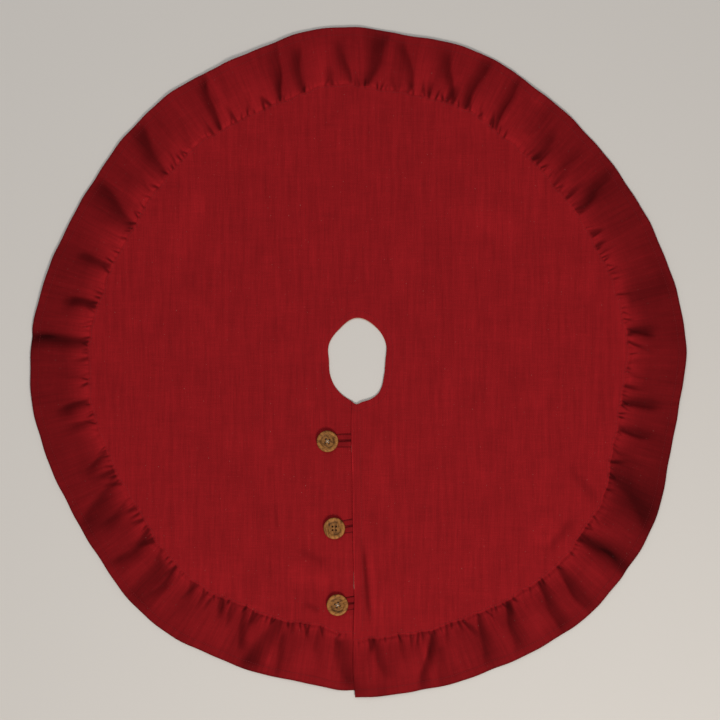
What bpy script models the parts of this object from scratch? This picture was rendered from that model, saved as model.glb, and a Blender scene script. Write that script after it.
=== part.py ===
"""Round cloth tree skirt with a gathered ruffle, a buttoned slit and a trunk hole.

Metres, +Z up. The skirt lies flat. The slit runs from the hole toward -Y.
Every heights formula gives the UNDERSIDE of a cloth layer; the cloth's thickness is
added upward by a Solidify modifier. Layers at the slit, from the floor up:
left facing, left panel, loops, right facing, right panel.
"""

import math

import bmesh
import bpy
from mathutils import Vector

MM = 0.001

# ---- driving dimensions, all in millimetres -------------------------------------
BASE_RADIUS = 602.0            # outline before its scallops are added
CENTRE = (2.744, 2.801)        # centre of the outline, from the frame's origin
RUFFLE_WIDTH = 106.0           # seam to hem
SEAM_GAP = 1.0                 # air between panel edge and ruffle edge
CLOTH = 0.9                    # thickness of panel and ruffle cloth
FACING = 0.7                   # thickness of the facings
AIR = 0.3                      # air between two layers that touch
NECK_FACING_WIDTH = 26.0
FOLD_X = -12.0                 # line that the right half folds up about
FOLD_Z = 9.0
LEFT_BACK_X = -12.6            # edge of the left half at the fold line
RIGHT_BACK_X = -11.5
UNDERLAP_X = 14.0              # hidden edge of the left half under the right half
RIGHT_EDGE_TOP_X = -11.7       # visible edge of the right half at the hole
RIGHT_EDGE_HEM_X = -6.5        # and at the hem
LEFT_LIFT = 1.0                # left panel over its facing
RIGHT_LIFT = 5.1               # right panel over everything at the slit

HOLE_CENTRE = (-2.0, 4.0)
HOLE_RADII = [53, 62, 71, 79, 66.5, 60, 52, 57, 67, 76.8, 74, 58]  # every 30 degrees
HOLE_TIP = (269.2, 4.0, 4.9)   # a small point at the slit: angle, half width, height

# scallops of the outline: centre angle, half width in degrees, height
BUMPS = [
    (3, 7, 6), (35, 12, -7), (70, 7, 13), (95, 9, 20), (125, 8, 7), (150, 8, -6),
    (172, 5, 3), (186, 10, 11), (232, 9, 18), (252, 6, 6), (267, 3, 7),
    (284, 10, 16), (313, 14, 33), (331, 5, 9), (350, 6, -5),
]
RIGHT_CORNER = (269, 7, 13)    # the right half hangs a little lower at the slit

# angles of the ruffle's main folds (valleys), degrees from +X, counterclockwise
LEFT_FOLDS = [
    101, 106, 112, 120, 127.5, 135, 142, 148, 154, 159.5, 167, 176, 182, 188.5, 193,
    201, 207, 213.5, 220, 228, 234, 241, 245.5, 251.5, 256, 261, 265.5,
]
RIGHT_FOLDS = [
    84, 79, 72, 67, 60, 53.5, 48, 43, 35.5, 28, 20, 13, 5.5, -2, -8.5, -15, -20.5,
    -26, -32, -38, -46, -52, -58, -64, -69.5, -75, -81,
]

BUTTON_RADIUS = 20.0
BUTTON_Z = 6.5                 # underside of the buttons
BUTTONS = [(-56.7, -146.2, -10.0), (-44.0, -307.7, 0.0), (-38.1, -450.0, 25.0)]
LOOP_TAIL_RISE = [2.0, 7.0, 5.0]
LOOP_LEG = 12.0                # width of one leg of a loop
LOOP_Z = 2.4
LOOP_THICK = 1.4
LOOP_END_X = 8.0
HOLE_PITCH = 3.3               # button holes from the middle, along both axes
HOLE_R = 1.45
SHANK_R = 2.0
SHANK_Z = (2.2, 5.0)
THREAD_R = 0.35

COLLECTION = "tree_skirt"
CUTTERS = "cutters"


# ---- housekeeping -----------------------------------------------------------------
def clear_scene():
    for obj in list(bpy.data.objects):
        bpy.data.objects.remove(obj)


def collection(name):
    made = bpy.data.collections.new(name)
    bpy.context.scene.collection.children.link(made)
    return made


def material(name, colour, roughness):
    mat = bpy.data.materials.new(name)
    mat.use_nodes = True
    shader = mat.node_tree.nodes["Principled BSDF"]
    shader.inputs["Base Color"].default_value = (*colour, 1.0)
    shader.inputs["Roughness"].default_value = roughness
    mat.diffuse_color = (*colour, 1.0)
    return mat


clear_scene()
PARTS = collection(COLLECTION)
HIDDEN = collection(CUTTERS)
CLOTH_MAT = material("skirt_cloth", (0.22, 0.010, 0.013), 0.9)
FACING_MAT = material("facing_cloth", (0.50, 0.42, 0.30), 0.9)
LOOP_MAT = material("loop_cloth", (0.20, 0.010, 0.013), 0.9)
WOOD_MAT = material("button_wood", (0.34, 0.19, 0.07), 0.5)
THREAD_MAT = material("red_thread", (0.25, 0.015, 0.018), 0.8)
BUTTON_THREAD_MAT = material("button_thread", (0.28, 0.19, 0.11), 0.8)


def add_object(name, data, mat, where=None):
    obj = bpy.data.objects.new(name, data)
    (where or PARTS).objects.link(obj)
    data.materials.append(mat)
    return obj


# ---- formulas ---------------------------------------------------------------------
def smooth(edge0, edge1, value):
    t = (value - edge0) / (edge1 - edge0)
    t = min(1.0, max(0.0, t))
    return t * t * (3.0 - 2.0 * t)


def bump(angle, centre, width, height):
    away = (angle - centre + 180.0) % 360.0 - 180.0
    return height * math.exp(-0.5 * (away / width) ** 2)


def hem_radius(angle, right):
    total = BASE_RADIUS + sum(bump(angle, *b) for b in BUMPS)
    if right and math.sin(math.radians(angle)) < 0.0:
        total += bump(angle, *RIGHT_CORNER)
    return total


def seam_radius(angle, right):
    return hem_radius(angle, right) - RUFFLE_WIDTH


def hole_radius(angle):
    steps = len(HOLE_RADII)
    place = (angle % 360.0) / (360.0 / steps)
    k = int(place)
    t = place - k
    a, b, c, d = (HOLE_RADII[(k + j) % steps] for j in (-1, 0, 1, 2))
    curve = 2 * b + (c - a) * t + (2 * a - 5 * b + 4 * c - d) * t * t
    curve += (3 * b - a - 3 * c + d) * t ** 3
    return 0.5 * curve + bump(angle, *HOLE_TIP)


def angle_at_x(radius, x, centre_x, front):
    """Angle at which a circle of this radius meets the line x, at the front or back."""
    lean = math.degrees(math.asin((x - centre_x) / radius))
    return 270.0 + lean if front else 90.0 - lean


def side_angles(radius, centre_x, right, radius_share):
    """First and last angle of a half at one radius: the back line, then the slit."""
    if right:
        edge = RIGHT_EDGE_TOP_X + radius_share * (RIGHT_EDGE_HEM_X - RIGHT_EDGE_TOP_X)
        first = angle_at_x(radius, RIGHT_BACK_X, centre_x, False)
        last = angle_at_x(radius, edge, centre_x, True) - 360.0
    else:
        first = angle_at_x(radius, LEFT_BACK_X, centre_x, False)
        last = angle_at_x(radius, UNDERLAP_X, centre_x, True)
    return first, last


def neck_lift(x, y):
    """Underside of a panel round the hole: one facing's height, then down to the floor."""
    dx = x - HOLE_CENTRE[0]
    dy = y - HOLE_CENTRE[1]
    away = math.hypot(dx, dy) - hole_radius(math.degrees(math.atan2(dy, dx)))
    return LEFT_LIFT * (1.0 - smooth(34.0, 90.0, away))


def left_base(x, y):
    front = smooth(-20.0, -75.0, y)
    strip = LEFT_LIFT * smooth(-150.0, -110.0, x) * front
    return max(strip, neck_lift(x, y))


def right_base(x, y):
    front = smooth(-10.0, -72.0, y)
    strip = RIGHT_LIFT * (1.0 - smooth(20.0, 80.0, x)) * front
    return max(strip, neck_lift(x, y))


def base_height(x, y, right):
    return right_base(x, y) if right else left_base(x, y)


# ---- panels -----------------------------------------------------------------------
PANEL_COLUMNS = 40
PANEL_ROWS = [0.0, 0.06, 0.13, 0.25, 0.5, 0.78, 1.0]


def hole_point(share, right):
    """A point on the hole's edge, share 0 at the back line and 1 at the slit."""
    cx, cy = HOLE_CENTRE
    first, last = side_angles(80.0, cx, right, 0.0)
    angle = first + share * (last - first)
    r = hole_radius(angle)
    x = cx + r * math.cos(math.radians(angle))
    y = cy + r * math.sin(math.radians(angle))
    if share in (0.0, 1.0):
        x = [RIGHT_BACK_X, RIGHT_EDGE_TOP_X][int(share)] if right else [
            LEFT_BACK_X, UNDERLAP_X][int(share)]
    return x, y


def seam_point(share, right):
    """A point on the panel's outer edge."""
    middle = 90.0 + share * 180.0 if not right else 90.0 - share * 180.0
    r = seam_radius(middle, right)
    first, last = side_angles(r, CENTRE[0], right, 0.8)
    angle = first + share * (last - first)
    r = seam_radius(angle, right) - SEAM_GAP
    x = CENTRE[0] + r * math.cos(math.radians(angle))
    y = CENTRE[1] + r * math.sin(math.radians(angle))
    return x, y


def panel_row(row, column, right):
    """Underside of the panel at one crossing of its grid."""
    share = column / PANEL_COLUMNS
    hx, hy = hole_point(share, right)
    sx, sy = seam_point(share, right)
    x = hx + row * (sx - hx)
    y = hy + row * (sy - hy)
    return x, y, base_height(x, y, right)


def panel_point(row, column, right):
    """A point on the panel's faceted underside, between two of its rows."""
    k = 0
    while k < len(PANEL_ROWS) - 2 and row > PANEL_ROWS[k + 1]:
        k += 1
    low, high = PANEL_ROWS[k], PANEL_ROWS[k + 1]
    a = panel_row(low, column, right)
    b = panel_row(high, column, right)
    t = (row - low) / (high - low)
    return tuple(p + t * (q - p) for p, q in zip(a, b))


def shell(name, columns, rows, where, thick, mat):
    """Grid of columns x rows, each vertex placed by a formula, thickened upward."""
    bm = bmesh.new()
    bmesh.ops.create_grid(bm, x_segments=columns, y_segments=rows, size=0.5)
    for vert in bm.verts:
        column = round((vert.co.x + 0.5) * columns)
        row = round((vert.co.y + 0.5) * rows)
        x, y, z = where(column, row)
        vert.co = Vector((x * MM, y * MM, z * MM))
    bm.normal_update()
    if sum(face.normal.z for face in bm.faces) < 0.0:
        bmesh.ops.reverse_faces(bm, faces=bm.faces[:])
    mesh = bpy.data.meshes.new(name)
    bm.to_mesh(mesh)
    bm.free()
    obj = add_object(name, mesh, mat)
    solid = obj.modifiers.new("cloth", "SOLIDIFY")
    solid.thickness = thick * MM
    solid.offset = 1.0
    return obj


def make_panel(name, right):
    shell(
        name, PANEL_COLUMNS, len(PANEL_ROWS) - 1,
        lambda c, r: panel_row(PANEL_ROWS[r], c, right), CLOTH, CLOTH_MAT,
    )


def make_neck_facing(name, right):
    """A strip under the panel round the hole, as wide as the panel's first row."""
    def where(column, row):
        x, y, z = panel_row(PANEL_ROWS[row] * (1.0 if row == 0 else 0.97), column, right)
        return x, y, z - AIR - FACING
    shell(name, PANEL_COLUMNS, 1, where, FACING, FACING_MAT)


# ---- ruffles ----------------------------------------------------------------------
RUFFLE_ROWS = [0.0, 0.12, 0.38, 0.66, 0.865, 1.0]
WAVE_GROWTH = [0.0, 0.55, 1.0, 0.95, 0.85, 0.78]


def ruffle_columns(folds, right):
    """Angle and wave height of every column: valleys, and three columns between."""
    ends = (91.0, 271.0) if not right else (91.0, -90.5)
    marks = [ends[0], *folds, ends[1]]
    found = []
    for k in range(len(marks) - 1):
        a, b = marks[k], marks[k + 1]
        height = min(12.0, 0.2 + 1.25 * abs(b - a))
        if k in (0, len(marks) - 2):
            height = 2.0
        found.append((a, 0.0))
        found.append((a + 0.30 * (b - a), 0.75 * height))
        found.append((a + 0.62 * (b - a), 0.92 * height))
    found.append((ends[1], 0.0))
    return found


def ruffle_point(columns, column, row, right):
    angle, wave = columns[column]
    share = (angle - columns[0][0]) / (columns[-1][0] - columns[0][0])
    down = RUFFLE_ROWS[row]
    r = seam_radius(angle, right) + down * RUFFLE_WIDTH
    first, last = side_angles(r, CENTRE[0], right, 0.8 + 0.2 * down)
    turned = first + share * (last - first)
    r = seam_radius(turned, right) + down * RUFFLE_WIDTH
    x = CENTRE[0] + r * math.cos(math.radians(turned))
    y = CENTRE[1] + r * math.sin(math.radians(turned))
    z = base_height(x, y, right) + wave * WAVE_GROWTH[row]
    return x, y, z


def make_ruffle(name, folds, right):
    columns = ruffle_columns(folds, right)
    shell(
        name, len(columns) - 1, len(RUFFLE_ROWS) - 1,
        lambda c, r: ruffle_point(columns, c, r, right), CLOTH, CLOTH_MAT,
    )


# ---- flat strips, loops -------------------------------------------------------------
def prism(name, outline, z0, thick, mat):
    """A flat polygon raised to a thickness."""
    bm = bmesh.new()
    verts = [bm.verts.new(Vector((x * MM, y * MM, z0 * MM))) for x, y in outline]
    face = bm.faces.new(verts)
    bm.normal_update()
    if face.normal.z < 0.0:
        face.normal_flip()
    mesh = bpy.data.meshes.new(name)
    bm.to_mesh(mesh)
    bm.free()
    obj = add_object(name, mesh, mat)
    solid = obj.modifiers.new("cloth", "SOLIDIFY")
    solid.thickness = thick * MM
    solid.offset = 1.0
    return obj


def make_slit_facings():
    top = HOLE_CENTRE[1] - 81.5 - NECK_FACING_WIDTH - 12.0
    foot = CENTRE[1] - 490.0
    prism(
        "left_slit_facing", [(-66, top), (13, top), (13, foot), (-66, foot)],
        LEFT_LIFT - AIR - FACING, FACING, FACING_MAT,
    )
    slope = (RIGHT_EDGE_HEM_X - RIGHT_EDGE_TOP_X) / 540.0
    low_x = RIGHT_EDGE_TOP_X + 1.0 + slope * (top - foot)
    prism(
        "right_slit_facing",
        [(RIGHT_EDGE_TOP_X + 1.2, top), (13, top), (13, foot), (low_x, foot)],
        RIGHT_LIFT - AIR - FACING, FACING, FACING_MAT,
    )


def loop_outline(cx, cy, rise):
    """A hairpin of flat tape round a shank, its two tails running to the slit."""
    outer = LOOP_LEG + 1.0
    inner = 3.1
    slot = 0.7
    tail = LOOP_END_X - cx
    points = []
    points.append((tail, rise + outer))
    for k in range(11):
        turn = math.radians(90.0 + 18.0 * k)
        points.append((outer * math.cos(turn), outer * math.sin(turn)))
    points.append((tail, rise - outer))
    points.append((tail, rise - slot))
    opening = math.degrees(math.asin(slot / inner))
    for k in range(13):
        turn = math.radians(-opening - (360.0 - 2.0 * opening) * k / 12.0)
        points.append((inner * math.cos(turn), inner * math.sin(turn)))
    points.append((tail, rise + slot))
    return [(cx + x, cy + y) for x, y in points]


def make_loops():
    for k, (cx, cy, _) in enumerate(BUTTONS):
        prism(
            f"button_loop_{k + 1}", loop_outline(cx, cy, LOOP_TAIL_RISE[k]),
            LOOP_Z, LOOP_THICK, LOOP_MAT,
        )


# ---- buttons ------------------------------------------------------------------------
BUTTON_PROFILE = [
    (0.0, 0.0), (16.0, 0.0), (19.2, 0.9), (20.0, 2.3), (19.7, 3.9), (17.6, 4.9),
    (14.2, 4.8), (12.2, 4.1), (11.2, 3.1), (5.0, 2.9), (0.0, 2.9),
]
SHANK_PROFILE = [(0.0, 0.0), (1.9, 0.0), (2.0, 0.5), (1.7, 1.4), (2.0, 2.4), (1.8, 2.8),
                 (0.0, 2.8)]


def lathe(name, profile, steps, place, mat, where=None):
    """A profile of radius, height pairs turned about a vertical axis."""
    bm = bmesh.new()
    verts = [bm.verts.new(Vector((r * MM, 0.0, h * MM))) for r, h in profile]
    for a, b in zip(verts, verts[1:]):
        bm.edges.new((a, b))
    mesh = bpy.data.meshes.new(name)
    bm.to_mesh(mesh)
    bm.free()
    obj = add_object(name, mesh, mat, where)
    obj.location = Vector(place) * MM
    screw = obj.modifiers.new("turn", "SCREW")
    screw.axis = "Z"
    screw.angle = math.radians(360.0)
    screw.steps = steps
    screw.render_steps = steps
    screw.use_merge_vertices = True
    screw.merge_threshold = 0.00001
    screw.use_normal_calculate = True
    return obj


def cutter(name, x, y, z0, z1, radius):
    mesh = bpy.data.meshes.new(name)
    bm = bmesh.new()
    bmesh.ops.create_cone(
        bm, cap_ends=True, segments=12, radius1=radius * MM, radius2=radius * MM,
        depth=(z1 - z0) * MM,
    )
    bm.to_mesh(mesh)
    bm.free()
    obj = add_object(name, mesh, WOOD_MAT, HIDDEN)
    obj.location = Vector((x, y, 0.5 * (z0 + z1))) * MM
    obj.display_type = "WIRE"
    obj.hide_render = True
    return obj


def hole_places(cx, cy, turn):
    """The four holes, going round."""
    c, s = math.cos(math.radians(turn)), math.sin(math.radians(turn))
    p = HOLE_PITCH
    return [(cx + c * x - s * y, cy + s * x + c * y)
            for x, y in ((p, p), (-p, p), (-p, -p), (p, -p))]


def make_button(number, cx, cy, turn):
    button = lathe(
        f"button_{number}", BUTTON_PROFILE, 32, (cx, cy, BUTTON_Z), WOOD_MAT)
    for k, (x, y) in enumerate(hole_places(cx, cy, turn)):
        tool = cutter(f"hole_{number}_{k}", x, y, BUTTON_Z - 2.0, BUTTON_Z + 7.0, HOLE_R)
        cut = button.modifiers.new(f"hole_{k}", "BOOLEAN")
        cut.operation = "DIFFERENCE"
        cut.solver = "EXACT"
        cut.object = tool
    lathe(
        f"button_shank_{number}", SHANK_PROFILE, 12, (cx, cy, SHANK_Z[0]),
        BUTTON_THREAD_MAT)
    make_button_thread(number, cx, cy, turn)


def make_button_thread(number, cx, cy, turn):
    """One thread: up a hole, over, down the next, across below, up, over, down."""
    a, b, c, d = hole_places(cx, cy, turn)
    low = BUTTON_Z - 0.75
    high = BUTTON_Z + 2.9 + 0.75
    path = []
    for start, end in ((a, b), (c, d)):
        dx = (end[0] - start[0]) / (2 * HOLE_PITCH)
        dy = (end[1] - start[1]) / (2 * HOLE_PITCH)
        path.append((*start, low))
        path.append((*start, high - 0.7))
        path.append((start[0] + 0.7 * dx, start[1] + 0.7 * dy, high))
        path.append((end[0] - 0.7 * dx, end[1] - 0.7 * dy, high))
        path.append((*end, high - 0.7))
        path.append((*end, low))
    wire(f"button_thread_{number}", path, 0.42, 1, BUTTON_THREAD_MAT)


# ---- threads --------------------------------------------------------------------------
def wire(name, path, radius, detail, mat):
    """A thin closed tube along a path."""
    curve = bpy.data.curves.new(name, "CURVE")
    curve.dimensions = "3D"
    curve.bevel_depth = radius * MM
    curve.bevel_resolution = detail
    curve.use_fill_caps = True
    spline = curve.splines.new("POLY")
    spline.points.add(len(path) - 1)
    for point, (x, y, z) in zip(spline.points, path):
        point.co = (x * MM, y * MM, z * MM, 1.0)
    return add_object(name, curve, mat)


def lay_on(point, extra=0.0):
    """Lifts a point on a cloth's underside to a thread lying on its top."""
    x, y, z = point
    return x, y, z + CLOTH + AIR + THREAD_R + extra


def make_panel_threads(side, right):
    gather = [lay_on(panel_point(0.988, c, right), 0.15)
              for c in range(PANEL_COLUMNS + 1)]
    wire(f"{side}_gather_thread", trim_ends(gather), THREAD_R, 0, THREAD_MAT)
    neck = [lay_on(panel_point(0.018, c, right), 0.15) for c in range(PANEL_COLUMNS + 1)]
    wire(f"{side}_neck_thread", trim_ends(neck), THREAD_R, 0, THREAD_MAT)


def trim_ends(path):
    """Pulls both ends of a path in, so a thread stays on its own half."""
    a, b = Vector(path[0]), Vector(path[1])
    c, d = Vector(path[-1]), Vector(path[-2])
    first = a + (b - a).normalized() * 2.0
    last = c + (d - c).normalized() * 4.0
    return [tuple(first), *path[1:-1], tuple(last)]


def make_hem_thread(side, folds, right):
    columns = ruffle_columns(folds, right)
    path = [lay_on(ruffle_point(columns, c, 4, right), 0.35) for c in range(len(columns))]
    wire(f"{side}_hem_thread", trim_ends(path), THREAD_R, 0, THREAD_MAT)


def make_slit_threads():
    left = [lay_on((11.3, y, LEFT_LIFT)) for y in (-110.0, -300.0, -480.0)]
    wire("left_slit_thread", left, THREAD_R, 0, THREAD_MAT)
    right = [lay_on((x, y, RIGHT_LIFT)) for x, y in
             ((-6.6, -110.0), (-4.6, -300.0), (-2.6, -480.0))]
    wire("right_slit_thread", right, THREAD_R, 0, THREAD_MAT)


# ---- the skirt ------------------------------------------------------------------------
for side, folds, is_right in (("left", LEFT_FOLDS, False), ("right", RIGHT_FOLDS, True)):
    make_panel(f"{side}_panel", is_right)
    make_neck_facing(f"{side}_neck_facing", is_right)
    make_ruffle(f"{side}_ruffle", folds, is_right)
    make_panel_threads(side, is_right)
    make_hem_thread(side, folds, is_right)

make_slit_facings()
make_slit_threads()
make_loops()
for index, (bx, by, bturn) in enumerate(BUTTONS):
    make_button(index + 1, bx, by, bturn)
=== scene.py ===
"""Looks for the tree skirt: dense cloth surfaces, loops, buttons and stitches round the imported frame."""

import math

import bmesh
import bpy
import numpy as np
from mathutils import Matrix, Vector


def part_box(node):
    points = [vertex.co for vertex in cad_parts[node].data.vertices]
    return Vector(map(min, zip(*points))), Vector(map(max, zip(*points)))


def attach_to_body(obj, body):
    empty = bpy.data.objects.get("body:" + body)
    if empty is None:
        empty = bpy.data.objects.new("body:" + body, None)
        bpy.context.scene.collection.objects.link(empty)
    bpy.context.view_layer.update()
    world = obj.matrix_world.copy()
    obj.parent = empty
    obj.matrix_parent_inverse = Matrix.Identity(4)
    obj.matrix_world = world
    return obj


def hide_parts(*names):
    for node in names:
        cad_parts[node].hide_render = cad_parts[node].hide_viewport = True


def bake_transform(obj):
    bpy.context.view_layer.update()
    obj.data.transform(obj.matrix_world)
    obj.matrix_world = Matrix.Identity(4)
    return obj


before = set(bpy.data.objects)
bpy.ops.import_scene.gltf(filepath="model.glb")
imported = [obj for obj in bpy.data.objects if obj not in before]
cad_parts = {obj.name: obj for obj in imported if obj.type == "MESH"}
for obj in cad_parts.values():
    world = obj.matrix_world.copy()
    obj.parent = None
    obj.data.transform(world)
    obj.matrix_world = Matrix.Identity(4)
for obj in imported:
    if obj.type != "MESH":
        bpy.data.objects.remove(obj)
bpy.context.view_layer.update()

MM = 0.001

# ---- the skirt's dimensions, in millimetres, as in the CAD ----
BASE_RADIUS = 602.0
CENTRE = (2.744, 2.801)
RUFFLE = 106.0
CLOTH = 0.9
HOLE_CENTRE = (-2.0, 4.0)
HOLE_RADII = np.array([53, 62, 71, 79, 66.5, 60, 52, 57, 67, 76.8, 74, 58])
HOLE_TIP = (269.2, 4.0, 4.9)
BUMPS = [
    (3, 7, 6), (35, 12, -7), (70, 7, 13), (95, 9, 20), (125, 8, 7), (150, 8, -6),
    (172, 5, 3), (186, 10, 11), (232, 9, 18), (252, 6, 6), (267, 3, 7),
    (284, 10, 16), (313, 14, 33), (331, 5, 9), (350, 6, -5),
]
RIGHT_CORNER = (269, 7, 13)
FOLD_LEFT_X, FOLD_RIGHT_X = -30.0, 6.0      # the strip of cloth that bends with the fold
UNDERLAP_X = 14.0
LEFT_LIFT = 1.0
SEAM_R, MIDDLE_R = 530.0, 555.0             # radii along which small and large folds are measured
TUCK_REACH = 90.0                           # how far the seam's tucks reach into the panel
FULLNESS = 1.3                              # ruffle's cloth over the seam's length
TURNED_EDGE = 0.1575                        # rise of the panel over its turned edges
HOLE_TURNED, SLIT_TURNED = (14.0, 15.5), (17.0, 18.5)   # where those edges' rise ends
LAP_LIFT, LOOP_LIFT = 2.7, 1.3              # the right half's, over the left and over the loops
PUFF, TEETH = 8.2, 3.2                      # heights of the ruffle and of its seam's tucks
HEM_AT = 0.862                              # hem stitches, as a share of the ruffle's depth
SLIT_TOP_Y = -60.0                          # the slit's edge runs from here to the front
HOLE_FRONT_Y, SEAM_FRONT_Y = -77.0, -507.0  # where hole and seam meet the slit

# the right half's front edge, from the hole to the hem: y, x
EDGE_Y = np.array([-640.0, -600.0, -560.0, -516.0, -441.0, -367.0, -293.0, -209.0,
                   -159.0, -116.0, -77.0, -60.0])
EDGE_X = np.array([-4.2, -6.4, -8.8, -8.7, -6.6, -8.4, -9.8, -10.6, -12.3, -12.4, -11.9, -11.8])

# the ruffle's folds: angle at the seam and at the hem, half width, depth, start and end
FOLDS = [
    (6, 5, 11, 0.95, 0, 0.6), (12, 15.5, 26, 0.55, 0.15, 1.1), (19.5, 20.5, 6, 0.45, 0, 0.3),
    (24.5, 24, 6, 0.45, 0, 0.35), (34, 37.5, 13, 0.85, 0, 1.1), (43.3, 43, 7, 0.4, 0, 0.9),
    (48.7, 50.5, 10, 0.6, 0, 0.75), (54, 53, 8, 0.3, 0.3, 1.1), (59.6, 60.2, 6, 0.85, 0, 1.1),
    (67.3, 66.2, 9, 0.95, 0, 1.1), (70, 74.5, 8, 0.78, 0.1, 1), (75.6, 75.9, 6, 0.68, 0, 0.4),
    (78.8, 82.8, 8, 0.82, 0.1, 1), (88.3, 85.2, 12, 0.92, 0, 1.1), (91.6, 94.2, 7, 0.65, 0, 0.9),
    (96.3, 97.5, 5, 0.4, 0, 0.4), (101.8, 100.6, 8, 0.82, 0, 0.9),
    (106.7, 104.8, 7, 0.85, 0, 1.1), (113.5, 112.5, 6, 0.35, 0, 0.5),
    (120.8, 118.6, 7, 0.95, 0, 1.1), (128, 127, 8, 0.35, 0, 0.7), (136.2, 132.6, 14, 0.9, 0, 1.1),
    (141, 139.5, 6, 0.35, 0, 0.5), (149.6, 145.2, 16, 0.9, 0, 1.1), (154.5, 154, 5, 0.3, 0, 0.4),
    (159, 160.2, 9, 0.9, 0, 0.75), (167.3, 168, 10, 0.92, 0, 0.7), (176.2, 175.8, 12, 1, 0, 1.3),
    (183, 183.5, 6, 0.3, 0, 0.5), (188.4, 190.3, 9, 0.8, 0, 0.7), (192.6, 193.2, 6, 0.6, 0, 0.6),
    (200, 202.8, 8, 0.7, 0, 0.55), (205, 210.5, 15, 0.75, 0, 1.1), (211, 212.8, 8, 0.5, 0.1, 0.8),
    (219.8, 219, 8, 0.75, 0, 1), (225, 226.5, 26, 0.65, 0.1, 1.1), (228.3, 227.6, 6, 0.6, 0, 0.9),
    (233.6, 231.8, 5, 0.6, 0, 0.46), (236, 235.2, 5, 0.62, 0, 0.42),
    (238.2, 238.4, 5, 0.66, 0, 0.4), (240.3, 241.6, 5, 0.62, 0, 0.42),
    (242.3, 244.6, 6, 0.66, 0, 0.5), (244.8, 248, 8, 0.8, 0, 0.85), (252.2, 249, 17, 0.8, 0, 1.1),
    (254.6, 255.4, 6, 0.55, 0.2, 1.1), (261.3, 261.6, 6, 0.45, 0, 0.6),
    (265, 268.6, 14, 0.8, 0.1, 1.1), (272.8, 276.2, 9, 0.7, 0, 0.8),
    (278.5, 278, 6, 0.45, 0, 0.5), (285.4, 280.5, 9, 0.95, 0, 1.1),
    (285.8, 284.2, 7, 0.45, 0.3, 1.1), (290, 290.2, 5, 0.35, 0, 0.4),
    (295.2, 292.6, 8, 0.82, 0, 1), (301.2, 298.4, 8, 0.85, 0, 1), (304.6, 304.5, 5, 0.3, 0, 0.4),
    (309, 306.8, 9, 0.88, 0, 1.1), (313.9, 312.8, 8, 0.8, 0, 1.1), (321.2, 322.1, 12, 1, 0, 1.2),
    (327, 327, 5, 0.3, 0, 0.4), (336, 329.8, 20, 0.8, 0.05, 1.1), (340.5, 341, 6, 0.45, 0, 0.4),
    (345, 346.4, 8, 0.85, 0, 0.75), (350.8, 352.2, 10, 0.95, 0, 0.8),
    (357, 357.5, 6, 0.35, 0, 0.5),
]

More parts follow.
